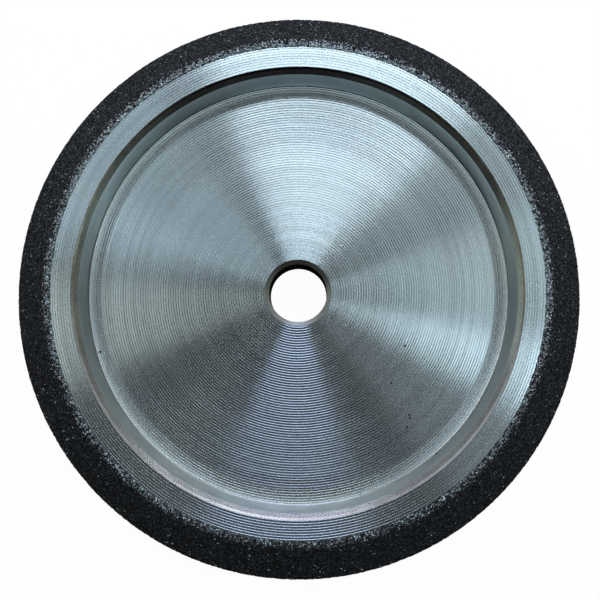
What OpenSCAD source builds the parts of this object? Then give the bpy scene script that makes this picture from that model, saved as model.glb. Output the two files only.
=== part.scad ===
// Profile grinding wheel: a turned steel body, dished on one side, whose form-ground
// rim carries a plated skin of abrasive grit.
// The wheel lies on its flat back face. The origin is on the bore axis at that face,
// and +Z runs along the bore towards the dished side. Lengths are in millimetres.
// Radial sizes are chained inwards from the overall diameter, so the rim and the dish
// keep their sections when the diameter changes.

/* [Wheel] */
// Overall diameter, measured over the abrasive skin
wheel_d = 127; // [110:1:203]
// Thickness of the steel body, from the back face to the rim face
body_w = 20; // [18:0.5:30]

/* [Bore] */
// Diameter of the arbor bore
bore_d = 12.7; // [8:0.1:32]
// Chamfer at both mouths of the bore
bore_chamfer = 0.95; // [0.3:0.05:2]

/* [Rim profile] */
// Radial drop from the fullest diameter to the outside of the shoulder
profile_depth = 8.5; // [7:0.1:11]
// Outer radius of the rounded nose at the fullest diameter
nose_r = 4; // [3:0.1:5]
// Radius of the steel shoulder between the rim face and the long slope
shoulder_r = 1.2; // [0.6:0.1:2]
// Angle of the short flank behind the nose, from the plane of the back face
flank_angle = 10; // [6:0.5:15]
// Height above the back face at which the flank leaves the nose
flank_rise = 1; // [0.6:0.1:2]

/* [Abrasive skin] */
// Thickness of the plated skin
skin_t = 0.35; // [0.2:0.05:0.5]
// Width of the lap of the skin over the flat rim face
skin_lap = 0.9; // [0.4:0.1:1.5]
// Height of the skin's hidden end above the back face, so that bare steel seats
seat_gap = 0.1; // [0.05:0.05:0.3]

/* [Dished side] */
// Width of the bare flat rim face
land_w = 4.4; // [3:0.1:8]
// Width of the shallow edge break inside the rim face
break_w = 0.5; // [0.2:0.1:1]
// Depth of that edge break
break_h = 0.2; // [0.1:0.05:0.5]
// Width of the bevel at the mouth of the dish
bevel_w = 0.8; // [0.4:0.1:2]
// Depth of that bevel
bevel_h = 1.2; // [0.4:0.1:1.5]
// Depth of the dish, from the rim face to the web
dish_depth = 6.5; // [5:0.5:12]
// Radial run of the tapered wall, from the foot of the bevel down to the web
wall_run = 1.2; // [0.2:0.1:2]
// Radius of the fillet between the wall of the dish and the web
fillet_r = 0.4; // [0.2:0.1:1.5]

/* [Hidden] */
$fn = 180;
arc_step = 5;

bore_r = bore_d / 2;
web_z = body_w - dish_depth;
shoulder_c = [wheel_d / 2 - profile_depth - shoulder_r, body_w - shoulder_r];
nose_c = [wheel_d / 2 - nose_r, flank_rise + nose_r * cos(flank_angle)];
skin_start_r = shoulder_c.x - skin_lap;
land_in_r = skin_start_r - land_w;
break_in_r = land_in_r - break_w;
wall_r = break_in_r - bevel_w;
bevel_foot_z = body_w - break_h - bevel_h;

// Taper of the wall from the axis, and the fillet that is tangent to it and to the web
taper = atan2(wall_run, bevel_foot_z - web_z);
fillet_c = [wall_r - wall_run - fillet_r * tan(45 - taper / 2), web_z + fillet_r];

// The long slope is the common tangent of the shoulder and the nose. Its normal makes
// this angle with the radial direction, which is also the slope's angle from the axis.
span = nose_c - shoulder_c;
slope_angle = atan2(span.y, span.x)
    + acos((shoulder_r + skin_t - nose_r) / norm(span));

// Points of an arc about c in the (radius, height) half plane, from angle a0 down to a1:
// both ends and each whole step between them, so that the fullest diameter is exact
function arc(c, r, a0, a1) =
    let (first = ceil(a0 / arc_step - 0.1) - 1, last = floor(a1 / arc_step + 0.1) + 1)
    [for (a = concat([a0], [for (k = [first : -1 : last]) k * arc_step], [a1]))
        c + r * dir(a)];

function dir(a) = [cos(a), sin(a)];

// Rim profile from the shoulder over the nose to the flank, at a depth below the
// outside of the skin: 0 gives the skin's surface, skin_t gives the ground steel
function rim_curve(depth) = concat(
    arc(shoulder_c, shoulder_r + skin_t - depth, 90, slope_angle),
    arc(nose_c, nose_r - depth, slope_angle, flank_angle - 90));

// Point of the flank at height z, at a depth below the outside of the skin
function flank_point(depth, z) =
    let (tangent = nose_c + (nose_r - depth) * dir(flank_angle - 90))
    [tangent.x - (tangent.y - z) / tan(flank_angle), z];

function reversed(list) = [for (i = [len(list) - 1 : -1 : 0]) list[i]];

// Turned steel body, one piece: bore, flat back, ground rim, land, dish and web
module wheel_body() {
    color("#b4bfc4")
    rotate_extrude()
    polygon(concat(
        [[bore_r, bore_chamfer], [bore_r + bore_chamfer, 0]],
        [flank_point(skin_t, 0)],
        reversed(rim_curve(skin_t)),
        [[land_in_r, body_w], [break_in_r, body_w - break_h]],
        [[wall_r, bevel_foot_z]],
        arc(fillet_c, fillet_r, -taper, -90),
        [[bore_r + bore_chamfer, web_z], [bore_r, web_z - bore_chamfer]]));
}

// Plated grit skin, of one thickness all over the ground profile
module abrasive_skin() {
    flank_end = flank_point(0, seat_gap);
    color("#26282c")
    rotate_extrude()
    polygon(concat(
        [[skin_start_r, body_w], [skin_start_r, body_w + skin_t]],
        rim_curve(0),
        [flank_end, flank_end + skin_t * dir(flank_angle + 90)],
        reversed(rim_curve(skin_t))));
}

wheel_body();
abrasive_skin();
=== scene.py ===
"""Profile grinding wheel: a turned steel body with a plated grit skin, on a pale floor.

Lengths are in metres in the frame of the solids: the wheel lies on its flat back at
z = 0, +Z runs along the bore towards the dished side, and the image's top is +Y, the
far side of the wheel.
"""

import math

import bmesh
import bpy
from mathutils import Matrix, Vector


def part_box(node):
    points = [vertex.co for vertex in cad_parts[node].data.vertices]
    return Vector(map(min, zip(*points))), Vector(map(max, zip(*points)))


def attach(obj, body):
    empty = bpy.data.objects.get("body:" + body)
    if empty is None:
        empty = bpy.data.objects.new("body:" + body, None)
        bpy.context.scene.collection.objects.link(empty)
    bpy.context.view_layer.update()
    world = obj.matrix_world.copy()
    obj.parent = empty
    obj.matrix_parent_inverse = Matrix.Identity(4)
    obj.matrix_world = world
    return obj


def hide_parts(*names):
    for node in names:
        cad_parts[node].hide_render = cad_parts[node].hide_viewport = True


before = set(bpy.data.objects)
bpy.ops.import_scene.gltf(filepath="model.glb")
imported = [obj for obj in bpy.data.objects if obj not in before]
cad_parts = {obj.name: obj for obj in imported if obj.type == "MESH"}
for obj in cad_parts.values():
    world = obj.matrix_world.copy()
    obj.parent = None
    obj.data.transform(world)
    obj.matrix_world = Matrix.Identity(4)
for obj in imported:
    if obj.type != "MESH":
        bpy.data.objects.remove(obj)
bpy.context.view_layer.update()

bl_info = {
    "name": "Profile Grinding Wheel",
    "version": (1, 0, 0),
    "blender": (4, 5, 0),
    "location": "View3D > Sidebar > Wheel",
    "description": "Turns a dished steel wheel body and plates its rim with grit",
    "category": "Object",
}

MM = 0.001
BODY_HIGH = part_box("wheel_body")[1]
SKIN_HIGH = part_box("abrasive_skin")[1]

# Distances within which points merge, and within which two heights count as one
MERGE = 0.002 * MM
NEAR = 0.01 * MM

# Steps of the body's mesh: round the bore, and along each straight stretch
TURN_STEPS = 384
BACK_STEPS = 10
SLOPE_STEPS = 4
LAND_STEPS = 4
WALL_STEPS = 3
WEB_STEPS = 9
BORE_STEPS = 4
# Length of a step along the arcs of the body's rim, its fillet and the skin's seat
RIM_STEP = 0.35 * MM
FILLET_STEP = 0.1 * MM
SEAT_STEP = 1.2 * MM
SEAT_SLOPE_STEPS = 2

# Small dents of the web: x, y and radius in millimetres
DENTS = ((23.3, -11.6, 0.28), (20.3, -19.7, 0.25), (24.1, -26.6, 0.24),
         (24.3, -27.3, 0.26), (23.7, -29.2, 0.25), (30.1, -35.0, 0.34),
         (-43.2, -12.9, 0.3))
# Height of a dent's centre over the web, and the reach of its faces in radii
DENT_LIFT = 0.1 * MM
DENT_REACH = 1.02

# The body's finishes, in the order of its material slots
WEB, LAND, WALL, BORE, BEVEL, FOOT, CHAMFER, BACK = range(8)
# Z of a normal above which a face counts as flat, and below which as upright
FLAT = 0.9
UPRIGHT = 0.1
# Angle between two faces under which they shade as one
SMOOTH_UNDER = math.radians(20.0)

# Scales of the noise patterns, in cycles per metre, from broad to fine
GROOVE_WANDER = 40.0
STEEL_CLOUD = 45.0
STAIN_PATCH = 55.0
FINE_CLOUD = 220.0
BORE_CLOUD = 600.0
BOND_PATCH = 700.0
STEEL_SPECK = 1800.0
FINE_GRAIN = 2500.0
# Pitch of the fine and the broad rings of turned steel, and the height of the fine ones
FINE_RING = 0.35 * MM
BROAD_RING = 1.3 * MM
FINE_RING_HEIGHT = 0.006 * MM
# Band of shallower grooves at the foot of the wall: width, fade and share of the depth
SHALLOW_BAND = 3.4 * MM
SHALLOW_FADE = 0.8 * MM
SHALLOW_SHARE = 0.62
# Distances from the skin's inner edge between which its grains close up, and the depth
# of the nickel between two grains
CLOSING_FROM = 0.8 * MM
CLOSING_TO = 1.9 * MM
NICKEL_DEPTH = 0.1 * MM
# Fine-turned parts: lowest and highest roughness, and the height of their fine grain
FINE_TURNED = {"wall": (0.28, 0.34, 0.0005 * MM),
               "bevel": (0.16, 0.2, 0.0003 * MM),
               "foot": (0.2, 0.26, 0.001 * MM),
               "chamfer": (0.4, 0.46, 0.001 * MM)}

# Lamps: name, azimuth, elevation, width and height in degrees as the wheel sees them,
# radiance and tint. The tints of window, window_low, right, upper_right, upper_left and
# left, and of the cards below, began as a fit to the photograph's bright and dark
# sectors, and most other values were then set. The lamps light a dull level surface
# at about 0.27 of the level at which a colour renders as it is written.
LAMPS = (("overhead", 90.0, 90.0, 28.0, 24.0, 0.6, (0.88, 0.97, 1.0)),
         ("overhead_far", 80.0, 84.0, 7.0, 6.0, 2.2, (0.95, 1.0, 1.0)),
         ("overhead_left", 192.5, 78.0, 8.0, 8.0, 2.9, (0.90, 0.98, 1.0)),
         ("overhead_right", 345.0, 77.5, 8.0, 8.0, 3.4, (0.88, 0.97, 1.0)),
         ("window", 81.0, 51.5, 38.1, 7.0, 3.4, (0.84, 0.95, 1.0)),
         ("window_low", 88.0, 27.0, 31.2, 16.0, 2.35, (0.59, 0.71, 1.0)),
         ("right", 346.0, 52.0, 10.5, 12.0, 2.2, (0.78, 0.94, 1.0)),
         ("upper_right", 25.5, 52.0, 37.0, 12.0, 0.80, (0.80, 0.95, 1.0)),
         ("upper_left", 138.0, 52.0, 34.8, 12.0, 0.75, (0.76, 0.91, 1.0)),
         ("left", 183.0, 52.0, 16.2, 12.0, 0.68, (0.94, 1.0, 0.91)),
         ("lower_right", 322.0, 54.0, 12.0, 12.0, 0.18, (0.85, 0.97, 1.0)))
# Cards that show in reflections alone, with the same values in the same order
CARDS = (("left_low", 175.0, 38.0, 30.4, 12.0, 1.25, (0.76, 0.94, 1.0)),
         ("front", 262.5, 36.5, 47.7, 11.0, 2.3, (0.69, 0.86, 1.0)),
         ("front_right", 328.0, 38.0, 30.4, 12.0, 0.95, (0.74, 0.93, 1.0)),
         ("front_left", 221.0, 38.0, 27.1, 12.0, 0.28, (0.78, 0.89, 1.0)))


def length(name, text, value):
    """A size in metres, as a property of the sidebar"""
    return bpy.props.FloatProperty(
        name=name, description=text, default=value, min=0.0, precision=5,
        subtype="DISTANCE", unit="LENGTH")


def angle(name, text, degrees):
    """An angle, as a property of the sidebar"""
    return bpy.props.FloatProperty(
        name=name, description=text, default=math.radians(degrees),
        subtype="ANGLE", unit="ROTATION")


def colour(name, text, value):
    """A linear colour, as a property of the sidebar"""
    return bpy.props.FloatVectorProperty(
        name=name, description=text, default=value, size=3, min=0.0, max=1.0,
        subtype="COLOR")


def factor(name, text, value, high=1.0):
    """A plain number from 0 to high, as a property of the sidebar"""
    return bpy.props.FloatProperty(
        name=name, description=text, default=value, min=0.0, max=high,
        subtype="FACTOR" if high == 1.0 else "NONE")


class WheelSizes(bpy.types.PropertyGroup):
    """Sizes of the turned section, from the frame where it gives them"""

    rim_radius: length("Rim radius", "Fullest radius over the skin", SKIN_HIGH.x)
    body_width: length("Body width", "Back face to rim face", BODY_HIGH.z)
    skin_thickness: length("Skin", "Thickness of the plated skin",
                           SKIN_HIGH.x - BODY_HIGH.x)
    bore_radius: length("Bore radius", "Radius of the arbor bore", 6.35 * MM)
    bore_chamfer: length("Bore chamfer", "Chamfer at both mouths", 0.95 * MM)
    profile_depth: length("Profile depth", "Shoulder to fullest radius", 8.5 * MM)
    nose_radius: length("Nose radius", "Rounded nose over the skin", 4.0 * MM)
    shoulder_radius: length("Shoulder", "Radius of the steel shoulder", 1.2 * MM)
    flank_angle: angle("Flank", "Short flank, from the back face", 10.0)
    flank_rise: length("Flank rise", "Height where the flank starts", 1.0 * MM)
    skin_lap: length("Skin lap", "Lap of the skin over the rim face", 0.9 * MM)
    seat_gap: length("Seat gap", "Skin's end above the back face", 0.1 * MM)
    land_width: length("Land", "Bare flat rim face", 4.4 * MM)
    break_width: length("Edge break", "Width of the edge break", 0.5 * MM)
    break_height: length("Break depth", "Depth of the edge break", 0.2 * MM)
    bevel_width: length("Bevel", "Width of the dish's bevel", 0.8 * MM)
    bevel_height: length("Bevel depth", "Depth of that bevel", 1.2 * MM)
    dish_depth: length("Dish depth", "Rim face to web", 6.5 * MM)
    wall_run: length("Wall run", "Radial run of the tapered wall", 1.2 * MM)
    fillet_radius: length("Fillet", "Between the wall and the web", 0.4 * MM)


class WheelFinish(bpy.types.PropertyGroup):
    """Colours and surface values of the wheel"""

    steel: colour("Steel", "Bright turned steel", (0.56, 0.63, 0.665))
    land_steel: colour("Land steel", "Turned steel of the rim face", (0.63, 0.71, 0.75))
    back_steel: colour("Back steel", "Darker steel of the back face", (0.25, 0.27, 0.28))
    # Painted shade of the bore's wall, also the colour of the dents
    bore_steel: colour("Bore steel", "Dark wall of the bore", (0.03, 0.022, 0.015))
    stain: colour("Stain", "Faint patches on the turned steel", (0.52, 0.50, 0.36))
    # Painted reflections and shade: tints that make each side of the wheel lighter or
    # darker, where the lamps alone don't
    wall_near: colour("Wall, near", "Wall of the dish, near side", (0.86, 0.92, 0.92))
    wall_side: colour("Wall, sides", "Wall of the dish, both sides", (0.46, 0.50, 0.50))
    wall_far: colour("Wall, far", "Wall of the dish, far side", (0.68, 0.80, 0.79))
    bevel_near: colour("Bevel, near", "Bevel, near side", (0.92, 0.84, 0.88))
    bevel_side: colour("Bevel, sides", "Bevel, both sides", (0.66, 0.64, 0.53))
    bevel_far: colour("Bevel, far", "Bevel, far side", (0.03, 0.022, 0.022))
    foot_near: colour("Foot, near", "Fillet of the wall, near side", (0.74, 0.77, 0.78))
    foot_side: colour("Foot, sides", "Fillet of the wall, both sides", (0.18, 0.18, 0.16))
    foot_far: colour("Foot, far", "Fillet of the wall, far side", (0.02, 0.022, 0.025))
    chamfer_near: colour("Chamfer, near", "Bore's chamfers, near side", (0.92, 0.97, 1.0))
    chamfer_side: colour("Chamfer, sides", "Bore's chamfers, both sides", (0.58, 0.62, 0.54))
    chamfer_far: colour("Chamfer, far", "Bore's chamfers, far side", (0.10, 0.075, 0.055))
    grit_dark: colour("Grit", "Dark grains", (0.066, 0.070, 0.077))
    grit_bright: colour("Nickel", "Bright nickel between the grains", (0.70, 0.80, 0.88))
    groove_pitch: length("Groove pitch", "Feed of the turning tool", 0.55 * MM)
    land_pitch: length("Land pitch", "Feed on the rim face and the back", 0.56 * MM)
    groove_slope: factor("Groove slope", "Slope of the gentle side of a groove", 0.25)
    groove_share: factor("Groove share", "Share of a groove that is gentle", 0.7)
    land_slope: factor("Land slope", "Gentle side of a groove on the rim face", 0.193)
    back_slope: factor("Back slope", "Gentle side of a groove on the back", 0.06)
    land_share: factor("Land share", "Share of that side on the rim face", 0.78)
    web_mottle: factor("Web mottle", "Unevenness of the web's steel", 0.03)
    land_mottle: factor("Land mottle", "Unevenness of the rim face and the back", 0.04)
    grain_size: length("Grain size", "Width of a grain", 0.23 * MM)
    grain_pitch: length("Grain pitch", "Spacing of the grit's facets", 0.37 * MM)
    grain_height: length("Grain height", "Random height of the grit", 0.1 * MM)
    edge_wander: length("Edge wander", "Raggedness of the skin's inner edge", 0.12 * MM)
    nickel_edge: factor("Nickel at the edge", "Share of nickel at the skin's edge", 0.66)
    nickel_lap: factor("Nickel on the lap", "Share of nickel at the lap's end", 0.46)


class StageSettings(bpy.types.PropertyGroup):
    """Camera, floor and room"""

    camera_place: bpy.props.FloatVectorProperty(
        name="Camera", description="Where the camera stands", size=3,
        default=(0.0029, -0.0175, 0.2588), subtype="TRANSLATION", unit="LENGTH")
    camera_aim: bpy.props.FloatVectorProperty(
        name="Aim", description="Point in the middle of the image", size=3,
        default=(0.0005, -0.0020, 0.0200), subtype="TRANSLATION", unit="LENGTH")
    lens: bpy.props.FloatProperty(
        name="Lens", description="Focal length on the camera's sensor", default=67.4,
        subtype="DISTANCE_CAMERA")
    sensor: bpy.props.FloatProperty(
        name="Sensor", description="Width of the camera's sensor", default=36.0,
        subtype="DISTANCE_CAMERA")
    floor_radius: length("Floor radius", "Radius of the round floor", 4.0)
    floor_colour: colour("Floor", "Pale floor", (0.86, 0.86, 0.86))
    floor_glow: factor("Floor glow", "Share of the floor that reads as white", 0.85)
    floor_white: factor("Floor white", "Strength of that share", 1.13, 2.0)
    room: colour("Room", "Dim room round the wheel", (0.03, 0.028, 0.028))
    horizon_far: colour("Far horizon", "Low on the window's side", (1.0, 0.89, 0.82))
    horizon_side: colour("Side horizon", "Low on both sides", (0.40, 0.37, 0.31))
    horizon_near: colour("Near horizon", "Low on the near side", (0.008, 0.007, 0.007))


# Section of the wheel, as (radius, height) points


def along(start, end, count):
    """Points after start up to end, in count even steps"""
    return [start.lerp(end, i / count) for i in range(1, count + 1)]


def polar(radius, degrees):
    """Vector in the section's plane"""
    turn = math.radians(degrees)
    return Vector((radius * math.cos(turn), radius * math.sin(turn)))


def arc(centre, radius, first, last, pitch):
    """Points of an arc from the angle first down to last, both ends included"""
    count = max(2, math.ceil(math.radians(abs(first - last)) * radius / pitch))
    return [centre + polar(radius, first + (last - first) * i / count)
            for i in range(count + 1)]


class Section:
    """Centres, angles and radii that the body and the skin share"""

    def __init__(self, sizes):
        s = sizes
        flank = math.degrees(s.flank_angle)
        self.sizes = s
        self.shoulder = Vector((
            s.rim_radius - s.profile_depth - s.shoulder_radius,
            s.body_width - s.shoulder_radius))
        self.nose = Vector((
            s.rim_radius - s.nose_radius,
            s.flank_rise + s.nose_radius * math.cos(s.flank_angle)))
        span = self.nose - self.shoulder
        drop = s.shoulder_radius + s.skin_thickness - s.nose_radius
        self.slope = (math.degrees(math.atan2(span.y, span.x))
                      + math.degrees(math.acos(drop / span.length)))
        self.flank = flank - 90.0
        self.skin_start = self.shoulder.x - s.skin_lap
        self.land_start = self.skin_start - s.land_width
        self.break_start = self.land_start - s.break_width
        self.wall = self.break_start - s.bevel_width
        self.web = s.body_width - s.dish_depth
        self.foot = self.wall - s.wall_run
        self.bevel_foot = s.body_width - s.break_height - s.bevel_height
        self.draft = math.degrees(math.atan2(s.wall_run, self.bevel_foot - self.web))

    def rim_curve(self, depth, arc_pitch, slope_steps):
        """Shoulder, long slope and nose at a depth below the skin's surface"""
        s = self.sizes
        shoulder = arc(self.shoulder, s.shoulder_radius + s.skin_thickness - depth,
                       90.0, self.slope, arc_pitch)
        nose = arc(self.nose, s.nose_radius - depth, self.slope, self.flank,
                   arc_pitch)
        slope = along(shoulder[-1], nose[0], slope_steps)
        return shoulder + slope + nose[1:]

    def flank_point(self, depth, height):
        """Point of the short flank at a height"""
        tangent = self.nose + polar(self.sizes.nose_radius - depth, self.flank)
        run = (tangent.y - height) / math.tan(self.sizes.flank_angle)
        return Vector((tangent.x - run, height))

    def body(self):
        """Closed section of the steel body, from the bore outwards and back"""
        s = self.sizes
        mouth = s.bore_radius + s.bore_chamfer
        back = [Vector((mouth, 0.0))]
        back += along(back[0], self.flank_point(s.skin_thickness, 0.0), BACK_STEPS)
        rim = self.rim_curve(s.skin_thickness, RIM_STEP, SLOPE_STEPS)
        rim.reverse()
        land = along(rim[-1], Vector((self.land_start, s.body_width)), LAND_STEPS)
        break_foot = Vector((self.break_start, s.body_width - s.break_height))
        bevel_foot = Vector((self.wall, self.bevel_foot))
        tangent = s.fillet_radius * math.tan(math.radians(45.0 - 0.5 * self.draft))
        fillet = arc(Vector((self.foot - tangent, self.web + s.fillet_radius)),
                     s.fillet_radius, -self.draft, -90.0, FILLET_STEP)
        wall = along(bevel_foot, fillet[0], WALL_STEPS)[:-1]
        web = along(fillet[-1], Vector((mouth, self.web)), WEB_STEPS)
        bore = [Vector((s.bore_radius, self.web - s.bore_chamfer))]
        bore += along(bore[0], Vector((s.bore_radius, s.bore_chamfer)), BORE_STEPS)
        return back + rim + land + [break_foot, bevel_foot] + wall + fillet + web + bore

    def skin(self, pitch, grain):
        """Closed section of the grit skin: fine outside, coarse against the steel.
        Its outer side lies lower by the grains' height, to leave room for scatter()."""
        s = self.sizes
        top = s.body_width + s.skin_thickness - grain
        edge_run = 0.4 * s.skin_thickness
        start = Vector((self.skin_start, s.body_width))
        edge = start + Vector((edge_run, s.skin_thickness - grain))
        lap = [edge] + along(edge, Vector((self.shoulder.x, top)),
                             math.ceil(s.skin_lap / pitch))[:-1]
        slope_steps = math.ceil((self.nose - self.shoulder).length / pitch)
        rim = self.rim_curve(grain, pitch, slope_steps)
        flank_end = self.flank_point(grain, s.seat_gap)
        flank_pitch = 1.5 * pitch
        flank_steps = math.ceil((rim[-1] - flank_end).length / flank_pitch)
        flank = along(rim[-1], flank_end, flank_steps)
        inner_end = flank_end + polar(s.skin_thickness - grain, self.flank + 180.0)
        inner = self.rim_curve(s.skin_thickness, SEAT_STEP, SEAT_SLOPE_STEPS)
        inner.reverse()
        return [start] + lap + rim + flank + [inner_end] + inner


# Modelling steps


def select_none():
    """Leaves nothing selected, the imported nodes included"""
    if bpy.context.object and bpy.context.object.mode != "OBJECT":
        bpy.ops.object.mode_set(mode="OBJECT")
    bpy.ops.object.select_all(action="DESELECT")


def draw_section(name, points):
    """A plane's one point, extruded from station to station into an outline whose
    last side is still missing"""
    select_none()
    bpy.ops.mesh.primitive_plane_add(size=MM, location=(0.0, 0.0, 0.0))
    piece = bpy.context.object
    piece.name = piece.data.name = name
    bpy.ops.object.mode_set(mode="EDIT")
    bpy.ops.mesh.select_all(action="SELECT")
    bpy.ops.mesh.merge(type="CENTER")
    bpy.ops.transform.translate(value=(points[0].x, 0.0, points[0].y))
    for here, there in zip(points, points[1:]):
        step = there - here
        bpy.ops.mesh.extrude_region_move(
            TRANSFORM_OT_translate={"value": (step.x, 0.0, step.y)})
    return piece


def close_section(piece):
    """Joins the outline's last point to its first"""
    mesh = bmesh.from_edit_mesh(piece.data)
    for vertex in mesh.verts:
        vertex.select = len(vertex.link_edges) == 1
    if sum(vertex.select for vertex in mesh.verts) != 2:
        raise RuntimeError(f"The outline of {piece.name} isn't one open line")
    mesh.select_flush(True)
    bmesh.update_edit_mesh(piece.data)
    bpy.ops.mesh.edge_face_add()


def spin_section(piece, steps):
    """Turns the outline once round the bore, closes the seam and faces it outwards"""
    bpy.ops.object.mode_set(mode="OBJECT")
    bpy.ops.object.modifier_add(type="SCREW")
    spin = piece.modifiers[-1]
    spin.axis = "Z"
    spin.angle = 2.0 * math.pi
    spin.steps = spin.render_steps = steps
    spin.use_merge_vertices = True
    spin.merge_threshold = MERGE
    bpy.ops.object.modifier_apply(modifier=spin.name)
    bpy.ops.object.mode_set(mode="EDIT")
    bpy.ops.mesh.select_all(action="SELECT")
    bpy.ops.mesh.remove_doubles(threshold=MERGE)
    bpy.ops.mesh.normals_make_consistent(inside=False)
    bpy.ops.object.mode_set(mode="OBJECT")


def press_dents(piece, dents):
    """Cuts small round dents, given as (place, radius), out of a piece"""
    balls = []
    for place, radius in dents:
        select_none()
        bpy.ops.mesh.primitive_ico_sphere_add(subdivisions=2, radius=radius,
                                              location=place)
        balls.append(bpy.context.object)
    for ball in balls:
        ball.select_set(True)
    bpy.ops.object.join()
    cutter = bpy.context.object
    select_none()
    bpy.context.view_layer.objects.active = piece
    piece.select_set(True)
    bpy.ops.object.modifier_add(type="BOOLEAN")
    cut = piece.modifiers[-1]
    cut.operation = "DIFFERENCE"
    cut.solver = "EXACT"
    cut.object = cutter
    bpy.ops.object.modifier_apply(modifier=cut.name)
    bpy.data.objects.remove(cutter, do_unlink=True)


def finish_piece(piece, node):
    """Checks that a finished piece is closed, ties it to the wheel's body and hides the
    solid it stands for
    """
    mesh = bmesh.new()
    mesh.from_mesh(piece.data)
    closed = all(edge.is_manifold for edge in mesh.edges)
    mesh.free()
    if not closed:
        raise RuntimeError(f"{piece.name} isn't closed")
    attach(piece, "root")
    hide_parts(node)


# Materials


class Nodes:
    """Short way to write a material's node tree"""

    def __init__(self, name):
        self.material = bpy.data.materials.new(name)
        self.material.use_nodes = True
        self.tree = self.material.node_tree
        self.tree.nodes.clear()
        self.output = self.tree.nodes.new("ShaderNodeOutputMaterial")

    def put(self, socket, value):
        """Links or sets one input"""
        if isinstance(value, bpy.types.NodeSocket):
            self.tree.links.new(value, socket)
        else:
            socket.default_value = value

    def node(self, kind, inputs=(), **settings):
        """Adds a node, with its settings and its inputs by name or number"""
        made = self.tree.nodes.new("ShaderNode" + kind)
        for key, value in settings.items():
            setattr(made, key, value)
        for key, value in dict(inputs).items():
            self.put(made.inputs[key], value)
        return made

    def math(self, operation, a, b=0.0, c=0.0):
        """Sum, product or other operation on up to three numbers"""
        made = self.node("Math", {0: a, 1: b, 2: c}, operation=operation)
        return made.outputs[0]

    def vector(self, operation, a, b=(0.0, 0.0, 0.0)):
        """Operation on up to two vectors that gives a vector"""
        made = self.node("VectorMath", {0: a, 1: b}, operation=operation)
        return made.outputs["Vector"]

    def scale(self, tint, amount):
        """A tint times a number"""
        made = self.node("VectorMath", {0: tint, "Scale": amount}, operation="SCALE")
        return made.outputs["Vector"]

    def place(self):
        """Position on the piece, in metres"""
        return self.node("TexCoord").outputs["Object"]

    def noise(self, vector, scale, detail=2.0):
        """Soft noise about 0.5, with more layers the higher the detail"""
        made = self.node("TexNoise", {"Vector": vector, "Scale": scale,
                                      "Detail": detail, "Roughness": 0.5})
        return made.outputs["Fac"]

    def remap(self, value, low, high, to_low, to_high):
        """Moves a number from one range to another, and holds it there"""
        made = self.node("MapRange", {"Value": value, "From Min": low,
                                      "From Max": high, "To Min": to_low,
                                      "To Max": to_high})
        return made.outputs["Result"]

    def spread(self, noise, low, high):
        """Spreads the usual range of a noise from low to high"""
        return self.remap(noise, 0.3, 0.7, low, high)

    def mix(self, share, a, b):
        """Colour between a and b, each a tint or a socket"""
        made = self.node("Mix", data_type="RGBA", blend_type="MIX")
        self.put(made.inputs["Factor"], share)
        self.put(made.inputs[6], (*a, 1.0) if isinstance(a, tuple) else a)
        self.put(made.inputs[7], (*b, 1.0) if isinstance(b, tuple) else b)
        return made.outputs[2]

    def bump(self, height, strength=1.0):
        """Normal of a surface with a height in metres"""
        made = self.node("Bump", {"Strength": strength, "Distance": 1.0,
                                  "Height": height})
        return made.outputs[0]

    def shade(self, **inputs):
        """Principled shader, with its inputs by name"""
        made = self.node("BsdfPrincipled")
        for key, value in inputs.items():
            self.put(made.inputs[key.replace("_", " ")], value)
        self.tree.links.new(made.outputs[0], self.output.inputs["Surface"])


def radius_of(tree, place):
    """Distance from the bore's axis"""
    flat = tree.vector("MULTIPLY", place, (1.0, 1.0, 0.0))
    return tree.node("VectorMath", {0: flat}, operation="LENGTH").outputs["Value"]


def side_of(tree, place):
    """Share of the way from the near side, at -1, to the far side, at 1"""
    towards_far = tree.node("SeparateXYZ", {0: place}).outputs["Y"]
    return tree.math("DIVIDE", towards_far, radius_of(tree, place))


def across_grooves(tree, place):
    """Direction across the turning grooves, in which they spread a highlight"""
    parts = tree.node("SeparateXYZ", {0: place})
    back = tree.math("MULTIPLY", parts.outputs["Y"], -1.0)
    around = tree.node("CombineXYZ", {0: back, 1: parts.outputs["X"], 2: 0.0})
    facing = tree.node("NewGeometry").outputs["Normal"]
    across = tree.vector("CROSS_PRODUCT", around.outputs[0], facing)
    return tree.vector("NORMALIZE", across)


def ring_noise(tree, radius, pitch, seed):
    """Noise that changes with the radius alone, so that it reads as rings"""
    line = tree.node("CombineXYZ", {0: radius, 1: seed * MM, 2: 0.0}).outputs[0]
    return tree.noise(line, 1.0 / pitch, 0.0)


def grooves(tree, radius, pitch, slope, share):
    """Height of turned grooves: a long gentle side that faces outwards over a share
    of each pitch, then a short steep side that faces the bore"""
    edge_round = 0.15
    phase = tree.math("FRACT", tree.math("DIVIDE", radius, pitch))
    fall = tree.math("MULTIPLY_ADD", phase, -1.0 / share, 1.0)
    rise = tree.math("MULTIPLY_ADD", phase, 1.0 / (1.0 - share), -share / (1.0 - share))
    side = tree.math("SMOOTH_MAX", fall, rise, edge_round)
    return tree.math("MULTIPLY", side, slope * share * pitch)


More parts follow.
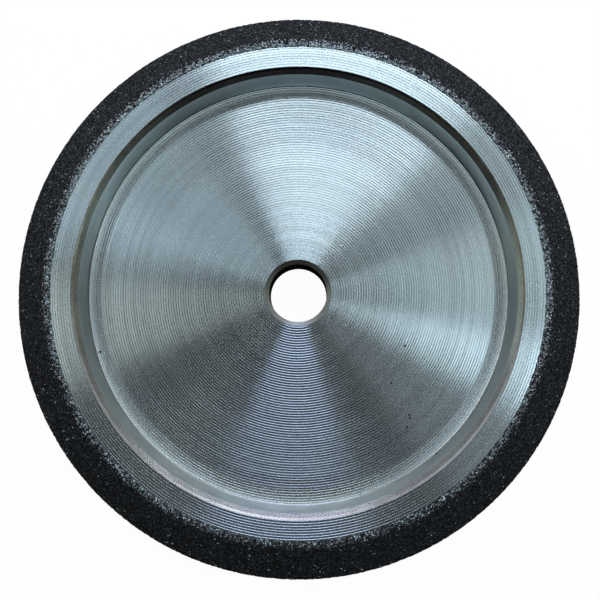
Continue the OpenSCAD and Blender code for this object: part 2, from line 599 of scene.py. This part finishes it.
def turned_steel(name, finish, steel, pitch, slope, share, mottle, last):
    """Bright steel with tool grooves round the bore, shallower beyond the last radius,
    with fine rings, broad rings of tone, clouds, specks and faint stains"""
    wander_share = 0.3
    tree = Nodes(name)
    place = tree.place()
    radius = radius_of(tree, place)
    wander = tree.noise(place, GROOVE_WANDER, 1.0)
    shifted = tree.math("MULTIPLY_ADD", wander, wander_share * pitch, radius)
    depth = tree.remap(radius, last, last + SHALLOW_FADE, 1.0, SHALLOW_SHARE)
    cut = tree.math("MULTIPLY", grooves(tree, shifted, pitch, slope, share), depth)
    fine = ring_noise(tree, radius, FINE_RING, seed=3.0)
    height = tree.math("MULTIPLY_ADD", fine, FINE_RING_HEIGHT, cut)
    tone = tree.spread(ring_noise(tree, radius, BROAD_RING, seed=11.0), 0.94, 1.04)
    cloud = tree.remap(tree.noise(place, STEEL_CLOUD, 3.0), 0.35, 0.7, 0.95, 1.03)
    speck = tree.spread(tree.noise(place, STEEL_SPECK), 1.0 - mottle, 1.0 + mottle)
    stained = tree.remap(tree.noise(place, STAIN_PATCH, 3.0), 0.54, 0.68, 0.0, 3.0 * mottle)
    base = tree.mix(stained, tuple(steel), tuple(finish.stain))
    shade = tree.math("MULTIPLY", tree.math("MULTIPLY", tone, cloud), speck)
    tree.shade(Base_Color=tree.scale(base, shade), Metallic=1.0,
               Roughness=tree.spread(fine, 0.21, 0.235), Anisotropic=0.52,
               Tangent=across_grooves(tree, place), Normal=tree.bump(height))
    return tree.material


def turned_web(finish, section):
    """Web of the dish, whose grooves are shallower at the foot of the wall"""
    return turned_steel("turned_web", finish, finish.steel, finish.groove_pitch,
                        finish.groove_slope, finish.groove_share, finish.web_mottle,
                        section.foot - SHALLOW_BAND)


def turned_land(finish, section):
    """Bare rim face"""
    return turned_steel("turned_land", finish, finish.land_steel, finish.land_pitch,
                        finish.land_slope, finish.land_share, finish.land_mottle,
                        section.nose.x)


def turned_back(finish, section):
    """Back face, darker and smoother than the rim face"""
    return turned_steel("turned_back", finish, finish.back_steel, finish.land_pitch,
                        finish.back_slope, finish.land_share, finish.land_mottle,
                        section.nose.x)


def steel_with_painted_reflections(finish, part):
    """Fine-turned steel without open grooves. Its near, side and far tints are painted
    reflections and shade, not a coating: they make each side lighter or darker where the
    lamps alone don't, and they stay on the steel under any other light."""
    low, high, grain = FINE_TURNED[part]
    near, side, far = (tuple(getattr(finish, f"{part}_{end}"))
                       for end in ("near", "side", "far"))
    tree = Nodes(f"{part}_steel")
    place = tree.place()
    towards_far = side_of(tree, place)
    # Painted reflections and shade: the tint runs from the near colour through the side
    # colour to the far colour
    painted_near_half = tree.mix(tree.remap(towards_far, 0.0, -1.0, 0.0, 1.0), side, near)
    tint = tree.mix(tree.remap(towards_far, 0.0, 1.0, 0.0, 1.0), painted_near_half, far)
    cloud = tree.noise(place, FINE_CLOUD, 3.0)
    height = tree.math("MULTIPLY", tree.noise(place, FINE_GRAIN), grain)
    tree.shade(Base_Color=tree.scale(tint, tree.spread(cloud, 0.9, 1.06)), Metallic=1.0,
               Roughness=tree.spread(cloud, low, high), Anisotropic=0.6,
               Tangent=across_grooves(tree, place), Normal=tree.bump(height))
    return tree.material


def painted_shade_and_dents(finish):
    """Dull dark brown that mirrors nothing: painted shade on the bore's wall, and the colour
    of the dents
    """
    tree = Nodes("bore_steel")
    cloud = tree.spread(tree.noise(tree.place(), BORE_CLOUD, 3.0), 0.6, 1.4)
    tree.shade(Base_Color=tree.scale(tuple(finish.bore_steel), cloud), Roughness=0.6,
               Specular_IOR_Level=0.0)
    return tree.material


def nickel_share_with_painted_shade(tree, finish, section, place, radius):
    """Share of bare nickel: most at the skin's edge, almost none past the lap, uneven,
    and less on the near side as painted shade, so that it glints less there"""
    start = section.skin_start
    lap_end = start + section.sizes.skin_lap
    lap = tree.remap(radius, start, lap_end, finish.nickel_edge, finish.nickel_lap)
    past = tree.remap(radius, start + CLOSING_FROM, start + CLOSING_TO, 1.0, 0.02)
    patches = tree.remap(tree.noise(place, BOND_PATCH), 0.35, 0.65, 0.75, 1.25)
    # Painted shade: less bare nickel towards the near side, so that side glints less
    towards_far = tree.remap(side_of(tree, place), -0.9, 0.4, 0.45, 1.0)
    bond = tree.math("MULTIPLY", patches, towards_far)
    return tree.math("MULTIPLY", tree.math("MULTIPLY", lap, past), bond)


def plated_grit(finish, section):
    """Near-black grains, a few of them much lighter as a painted glint, in a bright nickel
    bond, which shows where the grains thin out"""
    painted_glint_rarity = 8.0
    painted_glint_strength = 3.2
    tree = Nodes("plated_grit")
    place = tree.place()
    radius = radius_of(tree, place)
    grains = tree.node("TexVoronoi", {"Vector": place, "Scale": 1.0 / finish.grain_size})
    pick = tree.node("SeparateColor", {0: grains.outputs["Color"]})
    bare = nickel_share_with_painted_shade(tree, finish, section, place, radius)
    nickel = tree.math("GREATER_THAN", pick.outputs[0], tree.math("SUBTRACT", 1.0, bare))
    # Painted glint: a few grains take a far lighter colour, standing in for sparkle
    painted_glint = tree.math("POWER", pick.outputs[2], painted_glint_rarity)
    painted_glint = tree.math("MULTIPLY", painted_glint, painted_glint_strength)
    grain_tone_and_painted_glint = tree.math("ADD", tree.remap(pick.outputs[2], 0.0, 1.0, 0.35, 0.85), painted_glint)
    dark = tree.scale(tuple(finish.grit_dark), grain_tone_and_painted_glint)
    uneven = tree.math("POWER", pick.outputs[1], 1.6)
    nickel_tone = tree.math("MULTIPLY_ADD", uneven, 1.2, 0.2)
    bright = tree.scale(tuple(finish.grit_bright), nickel_tone)
    rise = tree.remap(radius, section.skin_start + CLOSING_FROM,
                      section.skin_start + CLOSING_TO, 0.8, 1.0)
    height = tree.math("MULTIPLY", grains.outputs["Distance"], -NICKEL_DEPTH)
    tree.shade(Base_Color=tree.mix(nickel, dark, bright), Metallic=nickel, Roughness=0.3,
               Specular_IOR_Level=0.0, Anisotropic=0.6,
               Tangent=across_grooves(tree, place), Normal=tree.bump(height, rise))
    return tree.material


def floor_paint(stage):
    """Pale floor that reads as white and keeps the wheel's shadow"""
    tree = Nodes("floor_paint")
    paint = tree.node("BsdfDiffuse", {"Color": (*stage.floor_colour, 1.0)})
    glow = tree.node("Emission", {"Color": (1.0, 1.0, 1.0, 1.0),
                                  "Strength": stage.floor_white})
    path = tree.node("LightPath")
    seen = tree.math("MAXIMUM", path.outputs["Is Camera Ray"],
                     tree.math("MAXIMUM", path.outputs["Is Glossy Ray"],
                               path.outputs["Is Transmission Ray"]))
    share = tree.math("MULTIPLY", seen, stage.floor_glow)
    mixed = tree.node("MixShader", {0: share, 1: paint.outputs[0],
                                    2: glow.outputs[0]})
    tree.tree.links.new(mixed.outputs[0], tree.output.inputs["Surface"])
    return tree.material


# Operators


class WHEEL_OT_steel_body(bpy.types.Operator):
    """Turn the steel body: bore, back, rim, land, dish and web"""

    bl_idname = "wheel.steel_body"
    bl_label = "Steel body"

    def execute(self, context):
        scene = context.scene
        section = Section(scene.wheel_sizes)
        body = draw_section("steel_body", section.body())
        close_section(body)
        spin_section(body, TURN_STEPS)
        dents = [(Vector((x * MM, y * MM, section.web + DENT_LIFT)), radius * MM)
                 for x, y, radius in DENTS]
        press_dents(body, dents)
        for material in self.finishes(scene.wheel_finish, section):
            body.data.materials.append(material)
        for face in body.data.polygons:
            in_dent = face.center.z < section.web - NEAR and any(
                (face.center - place).length < DENT_REACH * radius
                for place, radius in dents)
            face.material_index = BORE if in_dent else self.region(face, section)
        bpy.ops.object.shade_smooth_by_angle(angle=SMOOTH_UNDER)
        finish_piece(body, "wheel_body")
        return {"FINISHED"}

    def finishes(self, finish, section):
        """Materials of the body, in the order of its slots"""
        made = {WEB: turned_web(finish, section),
                LAND: turned_land(finish, section),
                WALL: steel_with_painted_reflections(finish, "wall"),
                BORE: painted_shade_and_dents(finish),
                BEVEL: steel_with_painted_reflections(finish, "bevel"),
                FOOT: steel_with_painted_reflections(finish, "foot"),
                CHAMFER: steel_with_painted_reflections(finish, "chamfer"),
                BACK: turned_back(finish, section)}
        return [made[slot] for slot in sorted(made)]

    def region(self, face, section):
        """Finish that a face takes, by its place"""
        s = section.sizes
        radius = face.center.xy.length
        height = face.center.z
        if radius < s.bore_radius + s.bore_chamfer and abs(face.normal.z) < FLAT:
            return BORE if abs(face.normal.z) < UPRIGHT else CHAMFER
        if height < NEAR:
            return BACK
        if height < 0.5 * section.web or radius > section.land_start:
            return LAND
        if height < section.web + NEAR:
            return WEB
        if radius > section.wall:
            return BEVEL
        return WALL if radius > section.foot else FOOT


class WHEEL_OT_abrasive_skin(bpy.types.Operator):
    """Plate the rim: a fine spun skin whose points are scattered into grains"""

    bl_idname = "wheel.abrasive_skin"
    bl_label = "Abrasive skin"

    def execute(self, context):
        scene = context.scene
        finish = scene.wheel_finish
        section = Section(scene.wheel_sizes)
        outline = section.skin(finish.grain_pitch, finish.grain_height)
        skin = draw_section("grit_skin", outline)
        close_section(skin)
        steps = round(2.0 * math.pi * section.nose.x / finish.grain_pitch)
        spin_section(skin, steps)
        self.wander(skin, outline[:2], finish)
        self.scatter(skin, section, finish)
        skin.data.materials.append(plated_grit(finish, section))
        bpy.ops.object.shade_flat()
        finish_piece(skin, "abrasive_skin")
        return {"FINISHED"}

    def wander(self, skin, stations, finish):
        """Moves the points of the inner edge at random, level by level, in their plane"""
        first_seed = 9
        for seed, station in enumerate(stations, start=first_seed):
            self.choose(skin, lambda vertex: abs(vertex.co.z - station.y) < NEAR
                        and vertex.co.xy.length < station.x + NEAR)
            bpy.ops.transform.vertex_random(offset=finish.edge_wander, uniform=1.0,
                                            normal=0.0, seed=seed)
            bpy.ops.transform.resize(value=(1.0, 1.0, 0.0),
                                     center_override=(0.0, 0.0, station.y))
        bpy.ops.object.mode_set(mode="OBJECT")

    def scatter(self, skin, section, finish):
        """Moves the outer points at random, so that each facet is a grain's face. The
        rim takes the whole height, and the lap a share of it."""
        lap_share = 0.35
        lap_start = section.skin_start + 0.3 * MM
        lap_end = section.shoulder.x + 0.5 * MM
        low = section.sizes.seat_gap + 1.5 * finish.grain_height
        for seed, height, from_radius, to_radius in (
                (5, finish.grain_height, lap_end, math.inf),
                (6, lap_share * finish.grain_height, lap_start, lap_end)):
            self.choose(skin, lambda vertex: from_radius <= vertex.co.xy.length < to_radius
                        and vertex.co.z > low
                        and vertex.normal.dot(self.outward(vertex, section)) > 0.0)
            bpy.ops.transform.vertex_random(offset=height, uniform=0.3, normal=0.4,
                                            seed=seed)
        bpy.ops.mesh.select_all(action="SELECT")
        bpy.ops.mesh.quads_convert_to_tris(quad_method="SHORTEST_DIAGONAL")
        bpy.ops.object.mode_set(mode="OBJECT")

    def choose(self, skin, wanted):
        """Leaves just the points selected that are wanted"""
        bpy.ops.object.mode_set(mode="EDIT")
        bpy.ops.mesh.select_mode(type="VERT")
        bpy.ops.mesh.select_all(action="DESELECT")
        mesh = bmesh.from_edit_mesh(skin.data)
        for vertex in mesh.verts:
            vertex.select = wanted(vertex)
        mesh.select_flush(True)
        bmesh.update_edit_mesh(skin.data)

    def outward(self, vertex, section):
        """Direction away from the middle of the rim's steel"""
        core_depth = 6.0 * MM
        middle = section.nose.lerp(section.shoulder, 0.5)
        inner = vertex.co.xy.normalized() * (middle.x - core_depth)
        return vertex.co - Vector((inner.x, inner.y, 0.5 * section.web))


def area_lamp(name, azimuth, elevation, width, height, radiance, tint):
    """A soft rectangular lamp one metre off, which looks at the wheel. Its directions
    and spans are in degrees, and its radiance is that of white paper in plain light."""
    select_none()
    turn = math.radians(azimuth)
    rise = math.radians(elevation)
    out = Vector((math.cos(turn) * math.cos(rise),
                  math.sin(turn) * math.cos(rise), math.sin(rise)))
    bpy.ops.object.light_add(type="AREA", location=out)
    lamp = bpy.context.object
    lamp.name = name
    lamp.data.shape = "RECTANGLE"
    lamp.data.size = 2.0 * math.tan(math.radians(0.5 * width))
    lamp.data.size_y = 2.0 * math.tan(math.radians(0.5 * height))
    lamp.data.energy = math.pi * radiance * lamp.data.size * lamp.data.size_y
    lamp.data.color = tint
    lamp.rotation_euler = out.to_track_quat("Z", "Y").to_euler()
    return lamp


class WHEEL_OT_stage(bpy.types.Operator):
    """Set the floor, the room, the lamps and the camera"""

    bl_idname = "wheel.stage"
    bl_label = "Stage"

    def execute(self, context):
        scene = context.scene
        stage = scene.wheel_stage
        self.floor(stage)
        self.room(scene, stage)
        self.lamps()
        self.camera(scene, stage)
        scene.view_settings.view_transform = "Standard"
        return {"FINISHED"}

    def floor(self, stage):
        """A round floor at the wheel's back face"""
        select_none()
        bpy.ops.mesh.primitive_circle_add(vertices=96, radius=stage.floor_radius,
                                          fill_type="NGON")
        floor = bpy.context.object
        floor.name = "floor"
        floor.data.materials.append(floor_paint(stage))

    def room(self, scene, stage):
        """A dim room whose horizon is warm behind the window side and dark in front"""
        # Height of a direction at which the horizon starts and at which it is full,
        # and the places of the near and the side colour from the near side to the far
        horizon_top = 0.45
        horizon_full = 0.1
        near_end = 0.35
        side_middle = 0.5
        world = bpy.data.worlds.new("room")
        scene.world = world
        world.use_nodes = True
        nodes, links = world.node_tree.nodes, world.node_tree.links
        way = nodes.new("ShaderNodeSeparateXYZ")
        links.new(nodes.new("ShaderNodeTexCoord").outputs["Generated"], way.inputs[0])
        side = nodes.new("ShaderNodeMapRange")
        side.inputs["From Min"].default_value = -1.0
        links.new(way.outputs["Y"], side.inputs["Value"])
        horizon = nodes.new("ShaderNodeValToRGB")
        ramp = horizon.color_ramp.elements
        ramp[0].color = (*stage.horizon_near, 1.0)
        ramp[1].color = (*stage.horizon_far, 1.0)
        ramp.new(near_end).color = (*stage.horizon_near, 1.0)
        ramp.new(side_middle).color = (*stage.horizon_side, 1.0)
        links.new(side.outputs["Result"], horizon.inputs["Fac"])
        low = nodes.new("ShaderNodeMapRange")
        low.inputs["From Min"].default_value = horizon_top
        low.inputs["From Max"].default_value = horizon_full
        links.new(way.outputs["Z"], low.inputs["Value"])
        whole = nodes.new("ShaderNodeMix")
        whole.data_type = "RGBA"
        whole.inputs[6].default_value = (*stage.room, 1.0)
        links.new(low.outputs["Result"], whole.inputs["Factor"])
        links.new(horizon.outputs[0], whole.inputs[7])
        links.new(whole.outputs[2], nodes["Background"].inputs["Color"])

    def lamps(self):
        """A window at the image's top, smaller and weaker lamps round the wheel, and
        cards that don't light the dull grit, so that it stays dark near the camera"""
        for row in LAMPS:
            area_lamp(*row)
        for row in CARDS:
            area_lamp(*row).visible_diffuse = False

    def camera(self, scene, stage):
        """The photograph's view: nearly straight at the dish, from the image's lower side"""
        place = Vector(stage.camera_place)
        view = Vector(stage.camera_aim) - place
        back = -view.normalized()
        side = Vector((0.0, 1.0, 0.0)).cross(back).normalized()
        up = back.cross(side)
        turn = Matrix((side, up, back)).transposed()
        bpy.ops.object.camera_add(location=place, rotation=turn.to_euler())
        camera = bpy.context.object
        camera.data.sensor_width = stage.sensor
        camera.data.lens = stage.lens
        camera.data.clip_start = 10.0 * MM
        scene.camera = camera


class VIEW3D_PT_wheel(bpy.types.Panel):
    """Sizes, finish and steps of the grinding wheel"""

    bl_label = "Grinding Wheel"
    bl_space_type = "VIEW_3D"
    bl_region_type = "UI"
    bl_category = "Wheel"

    def draw(self, context):
        layout = self.layout
        scene = context.scene
        for group in (scene.wheel_sizes, scene.wheel_finish, scene.wheel_stage):
            box = layout.box()
            for name in group.__annotations__:
                box.prop(group, name)
        for step in STEPS:
            layout.operator(step.bl_idname)


STEPS = (WHEEL_OT_steel_body, WHEEL_OT_abrasive_skin, WHEEL_OT_stage)
GROUPS = {"wheel_sizes": WheelSizes, "wheel_finish": WheelFinish,
          "wheel_stage": StageSettings}


def register():
    for kind in (*GROUPS.values(), *STEPS, VIEW3D_PT_wheel):
        bpy.utils.register_class(kind)
    for name, kind in GROUPS.items():
        setattr(bpy.types.Scene, name, bpy.props.PointerProperty(type=kind))


def unregister():
    for name in GROUPS:
        delattr(bpy.types.Scene, name)
    for kind in (VIEW3D_PT_wheel, *STEPS[::-1], *list(GROUPS.values())[::-1]):
        bpy.utils.unregister_class(kind)


def main():
    """Builds every piece in order"""
    register()
    bpy.ops.wheel.steel_body()
    bpy.ops.wheel.abrasive_skin()
    bpy.ops.wheel.stage()


if __name__ == "__main__":
    main()
